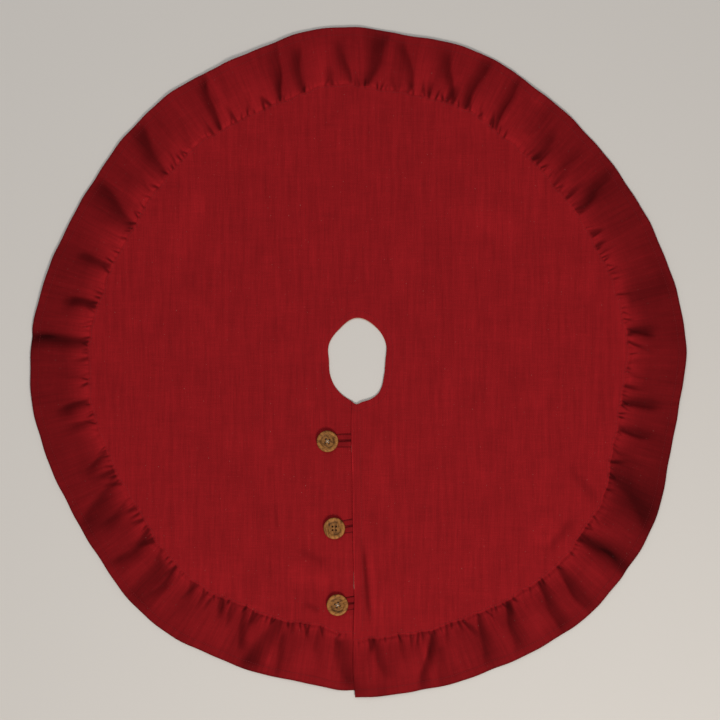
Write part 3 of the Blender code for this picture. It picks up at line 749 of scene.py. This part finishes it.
def thread_material(name, colour):
    """Twisted sewing thread: fine diagonal ply lines and uneven dye."""
    mat, tree, shader = new_material(name)
    place = tree.nodes.new("ShaderNodeTexCoord").outputs["Object"]
    wave = tree.nodes.new("ShaderNodeTexWave")
    tree.links.new(place, wave.inputs["Vector"])
    wave.bands_direction = "DIAGONAL"
    wave.inputs["Scale"].default_value = 700.0
    wave.inputs["Distortion"].default_value = 1.5
    dye = noise(tree, place, (220.0, 220.0, 220.0))
    factor = varied(tree, varied(tree, 1.0, wave.outputs["Fac"], 0.5), dye, 0.4)
    tinted = times_colour(tree, plain_colour(tree, colour), factor)
    tree.links.new(tinted, shader.inputs["Base Color"])
    set_relief(tree, shader, wave.outputs["Fac"], 0.5, 0.0002)
    shader.inputs["Roughness"].default_value = 0.7
    shader.inputs["Specular IOR Level"].default_value = 0.3
    return mat


CLOTH_MAT = cloth_material("skirt_weave", (0.243, 0.0076, 0.0098))
LOOP_MAT = cloth_material("loop_weave", (0.215, 0.007, 0.009), pitch=1.1, contrast=0.8)
FACING_MAT = cloth_material("facing_weave", (0.50, 0.35, 0.26), pitch=0.9, contrast=0.5,
                            speck=(0.30, 0.20, 0.12))
WOOD_MAT = wood_material()
STITCH_MAT = thread_material("stitch_thread", (0.24, 0.010, 0.012))
TAN_THREAD_MAT = thread_material("tan_thread", (0.40, 0.27, 0.15))
BUTTON_THREAD_MAT = thread_material("cream_thread", (0.66, 0.54, 0.40))
BROWN_THREAD_MAT = thread_material("brown_thread", (0.16, 0.075, 0.025))


def dressed(obj, mat):
    obj.data.materials.clear()
    obj.data.materials.append(mat)
    return obj


# ---- loops ----
NUMBERS = (1, 2, 3)
LOOP_WIDTH = 12.4                           # of one leg, in mm
LOOP_TURNED = 0.34                          # share of half the loop that turns round the stem


def centre_of(node):
    low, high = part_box(node)
    return [500.0 * (a + b) for a, b in zip(low, high)]


BUTTON_AT = {n: centre_of(f"button_{n}") for n in NUMBERS}
LOOP_RISE = {1: 2.0, 2: 7.0, 3: 5.0}
LOOP_Y = [BUTTON_AT[n][1] + LOOP_RISE[n] for n in NUMBERS]
LOOP_END = 8.0


def make_loop(number):
    """Two flat tube legs side by side, turned round the button's stem.

    s runs along the loop from end to end, and t across it from the inner edge."""
    cx, cy, _ = BUTTON_AT[number]
    rise = LOOP_RISE[number]
    tail = LOOP_END - cx
    s = np.linspace(-1.0, 1.0, 150)[:, None]
    t = np.linspace(0.0, 1.0, 25)[None, :]
    bend = np.clip(s / LOOP_TURNED, -1.0, 1.0) * 90.0
    out = np.clip((np.abs(s) - LOOP_TURNED) / (1.0 - LOOP_TURNED), 0.0, 1.0)
    inner = 0.5 + 2.4 * (1.0 - smooth(0.0, 0.30, out))
    radius = inner + t * (LOOP_WIDTH - inner + 0.35 * np.sin(9.0 * s + number))
    x = -radius * np.cos(np.radians(bend)) + out * tail
    x = np.where(out > 0.0, out * tail, x)
    y = -radius * np.sin(np.radians(bend)) + rise * out
    pillow = (1.0 - (2.0 * t - 1.0) ** 4) * (1.0 + 0.18 * np.sin(14.0 * s + 2.0 * number))
    pillow = pillow - 0.30 * (bell(t - 0.85, 0.05) + bell(t - 0.15, 0.05))
    under = stacked(x + cx, y + cy, 2.35 + 0.25 * (1.0 - pillow.clip(0, 1)))
    # Painted shade: darker where the pillowed cloth thins, at the slot between the legs along their inner
    # edges, and at their outer edges, most on the upper leg of loop 3.
    painted_shading = 1.0 - 0.55 * (1.0 - np.clip(pillow, 0, 1))
    outer = 0.45 + 0.40 * (number == 3) * (s < 0.0)
    painted_shading = painted_shading * (1.0 - 0.65 * bell(t, 0.10)) * (1.0 - outer * bell(1.0 - t, 0.08))
    thick = 0.35 + 1.05 * np.clip(pillow, 0, 1.2)
    weave = stacked(s * 60.0, t * 12.0, 0.0)
    obj = grid_mesh(f"loop_{number}", under, thick, {"weave": weave, "painted_shading": painted_shading}, flip=True)
    return dressed(obj, LOOP_MAT)


# ---- buttons ----
PROFILE = [
    (0.0, 0.0), (9.0, 0.0), (15.2, 0.05), (17.6, 0.35), (19.0, 0.95), (19.75, 1.75),
    (20.0, 2.6), (19.8, 3.4), (19.2, 4.15), (18.2, 4.7), (16.9, 4.95), (15.4, 4.95),
    (14.0, 4.7), (12.9, 4.2), (12.1, 3.6), (11.6, 3.15), (11.1, 2.95), (10.4, 3.0),
    (9.9, 3.15), (9.0, 3.12), (6.0, 2.95), (3.0, 2.86), (0.0, 2.85),
]
BUTTON_TURN = {1: -10.0, 2: 0.0, 3: 25.0}
GRAIN_TURN = {1: 62.0, 2: 15.0, 3: 110.0}
HOLE_PITCH, HOLE_R = 3.2, 1.5


def fine_profile(profile, parts):
    points = np.array(profile)
    place = np.arange(len(points))
    fine = np.linspace(0, len(points) - 1, (len(points) - 1) * parts + 1)
    r = np.interp(fine, place, points[:, 0])
    h = np.interp(fine, place, points[:, 1])
    for _ in range(2):
        r[1:-1] = 0.25 * r[:-2] + 0.5 * r[1:-1] + 0.25 * r[2:]
        h[1:-1] = 0.25 * h[:-2] + 0.5 * h[1:-1] + 0.25 * h[2:]
    return r, h


def hole_places(number):
    cx, cy, _ = BUTTON_AT[number]
    c, s = (f(math.radians(BUTTON_TURN[number])) for f in (math.cos, math.sin))
    p = HOLE_PITCH
    return [(cx + c * x - s * y, cy + s * x + c * y)
            for x, y in ((p, p), (-p, p), (-p, -p), (p, -p))]


def skin(bm, rings, steps):
    """Faces between rings of vertices, where a ring of one vertex is a pole."""
    for lower, upper in zip(rings, rings[1:]):
        for j in range(steps):
            n = (j + 1) % steps
            face = [lower[j % len(lower)], lower[n % len(lower)],
                    upper[n % len(upper)], upper[j % len(upper)]]
            face = list(dict.fromkeys(face))
            if len(face) > 2:
                bm.faces.new(face)


def make_button(number):
    low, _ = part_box(f"button_{number}")
    cx, cy, _ = BUTTON_AT[number]
    z0 = 1000.0 * low[2]
    r, h = fine_profile(PROFILE, 3)
    steps = 96
    bm = bmesh.new()
    rings = []
    for radius, height in zip(r, h):
        if radius < 0.01:
            rings.append([bm.verts.new((cx * MM, cy * MM, (z0 + height) * MM))])
            continue
        ring = []
        for j in range(steps):
            a = 2 * math.pi * j / steps
            uneven_round = 1.0 + 0.0035 * math.sin(3 * a + number) + 0.002 * math.sin(7 * a)
            tool = 0.03 * math.sin(radius * 5.2)
            ring.append(bm.verts.new((
                (cx + radius * uneven_round * math.cos(a)) * MM,
                (cy + radius * uneven_round * math.sin(a)) * MM, (z0 + height + tool) * MM)))
        rings.append(ring)
    skin(bm, rings, steps)
    bmesh.ops.recalc_face_normals(bm, faces=bm.faces[:])
    obj = from_bmesh(f"wood_button_{number}", bm)
    drill(obj, number, z0)
    return paint_button(obj, number, z0)


def drill(obj, number, z0):
    """Cuts the four holes, with a small funnel at each mouth."""
    tools = bmesh.new()
    steps = 24
    for x, y in hole_places(number):
        rings = []
        for radius, height in ((HOLE_R, -2.0), (HOLE_R, 2.35), (HOLE_R + 0.5, 3.2),
                               (HOLE_R + 0.9, 6.0)):
            rings.append([tools.verts.new((
                (x + radius * math.cos(2 * math.pi * k / steps)) * MM,
                (y + radius * math.sin(2 * math.pi * k / steps)) * MM, (z0 + height) * MM))
                for k in range(steps)])
        skin(tools, rings, steps)
        tools.faces.new(rings[0][::-1])
        tools.faces.new(rings[-1])
    tool = from_bmesh("drill", tools)
    cut = obj.modifiers.new("holes", "BOOLEAN")
    cut.operation = "DIFFERENCE"
    cut.solver = "EXACT"
    cut.object = tool
    apply_modifiers(obj)
    bpy.data.objects.remove(tool)


def apply_modifiers(obj):
    bpy.context.view_layer.update()
    graph = bpy.context.evaluated_depsgraph_get()
    done = bpy.data.meshes.new_from_object(obj.evaluated_get(graph))
    obj.modifiers.clear()
    obj.data = done


def paint_button(obj, number, z0):
    mesh = obj.data
    cx, cy, _ = BUTTON_AT[number]
    co = np.empty(len(mesh.vertices) * 3, dtype=np.float32)
    mesh.vertices.foreach_get("co", co)
    co = co.reshape(-1, 3) / MM - np.array([cx, cy, z0])
    c, s = (f(math.radians(GRAIN_TURN[number])) for f in (math.cos, math.sin))
    grain = np.stack([co[:, 0] * c + co[:, 1] * s + 40.0 * number,
                      co[:, 1] * c - co[:, 0] * s, co[:, 2] + 9.0 * number], 1)
    add_attribute(mesh, "grain", grain)
    r = np.hypot(co[:, 0], co[:, 1])
    a = np.arctan2(co[:, 1], co[:, 0])
    # Painted shade in the groove round the recess, uneven round the button, and over the recess.
    uneven_round = 0.30 + 0.20 * np.sin(2 * a + 1.7 * number) + 0.12 * np.sin(5 * a + number)
    painted_shading = 1.0 - uneven_round * bell(r - 11.7, 1.3) - 0.10 * (r < 11.0)
    # Painted highlight on the rim and painted shade down the button's side.
    painted_shading = painted_shading + 0.22 * smooth(14.0, 17.0, r) - 0.45 * smooth(18.9, 20.0, r)
    # Painted shade in the holes.
    for x, y in hole_places(number):
        near = np.hypot(co[:, 0] + cx - x, co[:, 1] + cy - y)
        painted_shading = painted_shading * (1.0 - 0.88 * (1.0 - smooth(1.3, 2.2, near)))
    add_attribute(mesh, "painted_shading", painted_shading[:, None])
    shade_smooth(mesh)
    mesh.set_sharp_from_angle(angle=math.radians(38))
    return dressed(obj, WOOD_MAT)


def tube(name, paths, radius, sides, mat):
    """Closed round tubes along paths of points in mm, in one mesh."""
    bm = bmesh.new()
    for path in paths:
        points = [Vector(p) for p in path]
        rings = []
        for k, p in enumerate(points):
            a, b = points[max(0, k - 1)], points[min(len(points) - 1, k + 1)]
            ahead = (b - a).normalized()
            aside = ahead.cross(Vector((0.31, 0.17, 1.0))).normalized()
            up = aside.cross(ahead).normalized()
            size = radius * (0.55 if k in (0, len(points) - 1) else 1.0)
            rings.append([bm.verts.new((p + size * (
                aside * math.cos(2 * math.pi * j / sides)
                + up * math.sin(2 * math.pi * j / sides))) * MM) for j in range(sides)])
        skin(bm, rings, sides)
        bm.faces.new(rings[0][::-1])
        bm.faces.new(rings[-1])
    bmesh.ops.recalc_face_normals(bm, faces=bm.faces[:])
    obj = from_bmesh(name, bm)
    shade_smooth(obj.data)
    return dressed(obj, mat)


def make_button_thread(number):
    """Doubled thread between the holes: pale and crossed on two buttons, brown on one."""
    low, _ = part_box(f"button_{number}")
    z0 = 1000.0 * low[2]
    a, b, c, d = hole_places(number)
    crossed = number != 2
    paths = []
    for over, (start, end) in enumerate(((a, c), (b, d)) if crossed else ((a, b), (c, d))):
        for side in (-0.20, 0.20):
            path = []
            for k in range(31):
                t = k / 30.0
                lift = float(smooth(0.0, 0.17, t) * smooth(1.0, 0.83, t))
                if crossed:
                    lift += (0.08 + 0.13 * over) * math.sin(math.pi * t) ** 3
                x = start[0] + (end[0] - start[0]) * t
                y = start[1] + (end[1] - start[1]) * t
                off = Vector((-(end[1] - start[1]), end[0] - start[0])).normalized() * side
                path.append((x + off.x, y + off.y, z0 + 0.4 + 2.85 * lift))
            paths.append(path)
    mat = BUTTON_THREAD_MAT if crossed else BROWN_THREAD_MAT
    return tube(f"button_stitch_{number}", paths, 0.20, 8, mat)


def make_shank(number):
    """A stem of thread wound round itself."""
    cx, cy, _ = BUTTON_AT[number]
    path = []
    for k in range(150):
        t = k / 149.0
        a = 2 * math.pi * 7.0 * t
        path.append((cx + 1.45 * math.cos(a), cy + 1.45 * math.sin(a), 2.55 + 3.4 * t))
    core = [(cx, cy, 2.3 + 0.5 * k) for k in range(8)]
    return tube(f"thread_stem_{number}", [path, core], 0.42, 8, TAN_THREAD_MAT)


# ---- facings ----
def make_neck_facing(region, columns):
    """A strip of undyed cotton under the panel round the hole; its edge peeps out."""
    shares = np.linspace(0.0, 0.058, 9)
    x, y = panel_plan(region, columns, shares)
    z, _, _ = panel_height(x, y, region)
    angle = np.degrees(np.arctan2(y[0] - HOLE_CENTRE[1], x[0] - HOLE_CENTRE[0]))
    peep = 0.25 + 1.1 * bell(turn_between(angle, 86.0), 30.0)
    toward = np.stack([HOLE_CENTRE[0] - x[0], HOLE_CENTRE[1] - y[0]])
    toward = toward / np.hypot(*toward)
    x[0], y[0] = x[0] + toward[0] * peep, y[0] + toward[1] * peep
    z = np.maximum(z - 0.95, 0.0) if region != "right" else z - 0.85
    z[0] = z[1]
    z = np.maximum(z, 0.0)
    obj = grid_mesh(
        f"neck_facing_{region}", stacked(x, y, z), 0.6,
        {"weave": stacked(x, y, 0.0), "painted_shading": np.ones_like(x)}, flip=region != "left")
    return dressed(obj, FACING_MAT)


# where the right facing's edge shows past the panel's: y, half length, how far
PEEPS = [(-160.0, 20.0, 1.1), (-283.0, 16.0, 0.9), (-398.0, 26.0, 1.2), (-417.0, 9.0, 0.8),
         (-508.5, 3.5, 1.2)]


def make_slit_facing(region):
    low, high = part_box(f"{region}_slit_facing")
    y, t = np.meshgrid(np.linspace(1000 * low[1], 1000 * high[1], 200),
                       np.linspace(0.0, 1.0, 16), indexing="ij")
    first = edge_x(y) + 0.9 if region == "right" else np.full_like(y, 1000 * low[0])
    x = first + t * (1000 * high[0] - first)
    z, _, _ = panel_height(x, y, region)
    z = np.maximum(z - 0.85, 0.0)
    if region == "right":
        peep = sum(size * bell(y - at, reach) for at, reach, size in PEEPS)
        x = x - peep * (1.0 - t) ** 3
    obj = grid_mesh(
        f"slit_facing_{region}", stacked(x, y, z), 0.55,
        {"weave": stacked(x, y, 0.0), "painted_shading": np.ones_like(x)}, flip=False)
    return dressed(obj, FACING_MAT)


# ---- stitches ----
STITCH_STEP, WANDER = 0.5, 0.25             # mm between points; sway of a row


def resample(path, step):
    path = np.asarray(path, float)
    lengths = np.concatenate([[0.0], np.cumsum(np.linalg.norm(np.diff(path, axis=0), axis=1))])
    at = np.arange(0.0, lengths[-1], step)
    return np.stack([np.interp(at, lengths, path[:, k]) for k in range(3)], 1)


def stitch_row(name, path, stitch, gap, radius):
    """Short stitches, each arched out of the cloth, along a path on its top."""
    fine = resample(path, STITCH_STEP)
    step = int(round((stitch + gap) / STITCH_STEP))
    long = int(round(stitch / STITCH_STEP))
    paths = []
    for n, start in enumerate(range(0, len(fine) - long - 1, step)):
        piece = fine[start:start + long + 1]
        picks = piece[[0, long // 4, long // 2, (3 * long) // 4, long]].copy()
        picks[:, 2] += np.array([-0.30, 0.12, 0.20, 0.12, -0.30])
        sway = WANDER * math.sin(n * 2.4) + 0.5 * WANDER * math.sin(n * 5.7)
        picks[:, 0] += 0.3 * sway
        picks[:, 1] += 0.3 * sway
        paths.append([tuple(p) for p in picks])
    return tube(name, paths, radius, 6, STITCH_MAT)


ON_TOP = CLOTH + 0.12


def along_panel(region, share):
    """A path on the panel's top, at a share of the way from the hole to the seam."""
    x, y = panel_plan(region, 900, [share])
    z, _, _ = panel_under(x, y, region)
    return np.stack([x[0], y[0], z[0] + ON_TOP], 1)


def along_ruffle(region, share):
    """A path on the ruffle's top, at a share of the way from the seam to the hem."""
    x, y, angle = ruffle_plan(region, 1600, [share])
    z, _, _ = ruffle_under(x, y, angle, np.full_like(x, share), region)
    return np.stack([x[0], y[0], z[0] + ON_TOP], 1)


def along_slit():
    y = np.linspace(-96.0, -500.0, 700)
    x = edge_x(y) + 16.2
    z, _, _ = panel_under(x, y, "right")
    return np.stack([x, y, z + ON_TOP], 1)


def attach(obj, body, node):
    """Rides a piece on a body in a node's place; with no body, bakes its transform into its mesh and
    leaves it in place.
    """
    if body is None:
        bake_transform(obj)
    else:
        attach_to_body(obj, body)
        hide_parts(node)


# ---- building it ----
DENSE = 1.0
STITCH_ROWS = (                             # path and place; stitch, gap and thread's radius
    ("gather", along_panel, 0.991, 3.0, 1.6, 0.33), ("hem", along_ruffle, HEM_AT, 3.2, 1.5, 0.28),
    ("neck", along_panel, 0.030, 3.0, 1.4, 0.28),
)
for region in ("left", "right", "fold"):
    wide = region != "fold"
    half = f"{region}_half" if wide else None
    panel = make_panel(region, int((760 if wide else 40) * DENSE), int(230 * DENSE))
    attach(panel, half, f"{region}_panel")
    ruffle = make_ruffle(region, int((1500 if wide else 48) * DENSE), int(64 * DENSE))
    attach(ruffle, half, f"{region}_ruffle")
    neck = make_neck_facing(region, int((360 if wide else 40) * DENSE))
    attach(neck, half, f"{region}_neck_facing")
    for kind, along, share, stitch, gap, radius in STITCH_ROWS:
        row = stitch_row(f"{kind}_stitches_{region}", along(region, share), stitch, gap, radius)
        attach(row, half, f"{region}_{kind}_thread")

for region, width in (("left", 0.079), ("right", 0.022)):
    strip = make_slit_facing(region)
    attach(strip, f"{region}_half", f"{region}_slit_facing")
slit = stitch_row("slit_stitches_right", along_slit(), 3.2, 1.5, 0.28)
attach(slit, "right_half", "right_slit_thread")
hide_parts("left_slit_thread")

for number in NUMBERS:
    disc, stem = f"button_disc_{number}", f"button_stem_{number}"
    attach(make_loop(number), "left_half", f"button_loop_{number}")
    attach(make_button(number), disc, f"button_{number}")
    attach(make_button_thread(number), disc, f"button_thread_{number}")
    attach(make_shank(number), stem, f"button_shank_{number}")


# ---- floor, light, camera ----
def plain_floor():
    bm = bmesh.new()
    bmesh.ops.create_grid(bm, x_segments=1, y_segments=1, size=20.0)
    obj = from_bmesh("floor", bm)
    obj.location.z = -0.0004
    mat, _, shader = new_material("pale_floor")
    shader.inputs["Base Color"].default_value = (0.62, 0.58, 0.53, 1.0)
    shader.inputs["Roughness"].default_value = 0.85
    dressed(obj, mat)


def area_light(name, place, aim, size, power, colour=(1.0, 1.0, 1.0)):
    light = bpy.data.lights.new(name, "AREA")
    light.shape = "DISK"
    light.size = size
    light.energy = power
    light.color = colour
    obj = linked(name, light)
    obj.location = place
    obj.rotation_euler = (Vector(aim) - Vector(place)).to_track_quat("-Z", "Y").to_euler()


CAMERA_HEIGHT = 3.2                         # metres over the cloth
SHOWN_WIDTH = 0.720 * 1.858                 # metres across the picture at the cloth
SENSOR_WIDTH = 36.0


def set_camera():
    """Looks straight down, a little right of and behind the middle."""
    data = bpy.data.cameras.new("camera")
    data.sensor_width = SENSOR_WIDTH
    data.lens = SENSOR_WIDTH * CAMERA_HEIGHT / SHOWN_WIDTH
    data.clip_end = 50.0
    obj = linked("camera", data)
    obj.location = (0.0037, 0.0046, CAMERA_HEIGHT + 0.003)
    bpy.context.scene.camera = obj


plain_floor()
area_light("key", (0.9, -2.6, 2.8), (0.0, 0.0, 0.0), 1.3, 92.0, (1.0, 0.965, 0.92))
area_light("fill", (-0.6, 1.2, 3.6), (0.0, 0.0, 0.0), 3.2, 42.0, (0.94, 0.97, 1.0))
world = bpy.data.worlds.new("studio")
bpy.context.scene.world = world
world.use_nodes = True
world.node_tree.nodes["Background"].inputs[0].default_value = (0.93, 0.95, 1.0, 1.0)
world.node_tree.nodes["Background"].inputs[1].default_value = 0.32
bpy.context.scene.view_settings.view_transform = "Standard"
set_camera()
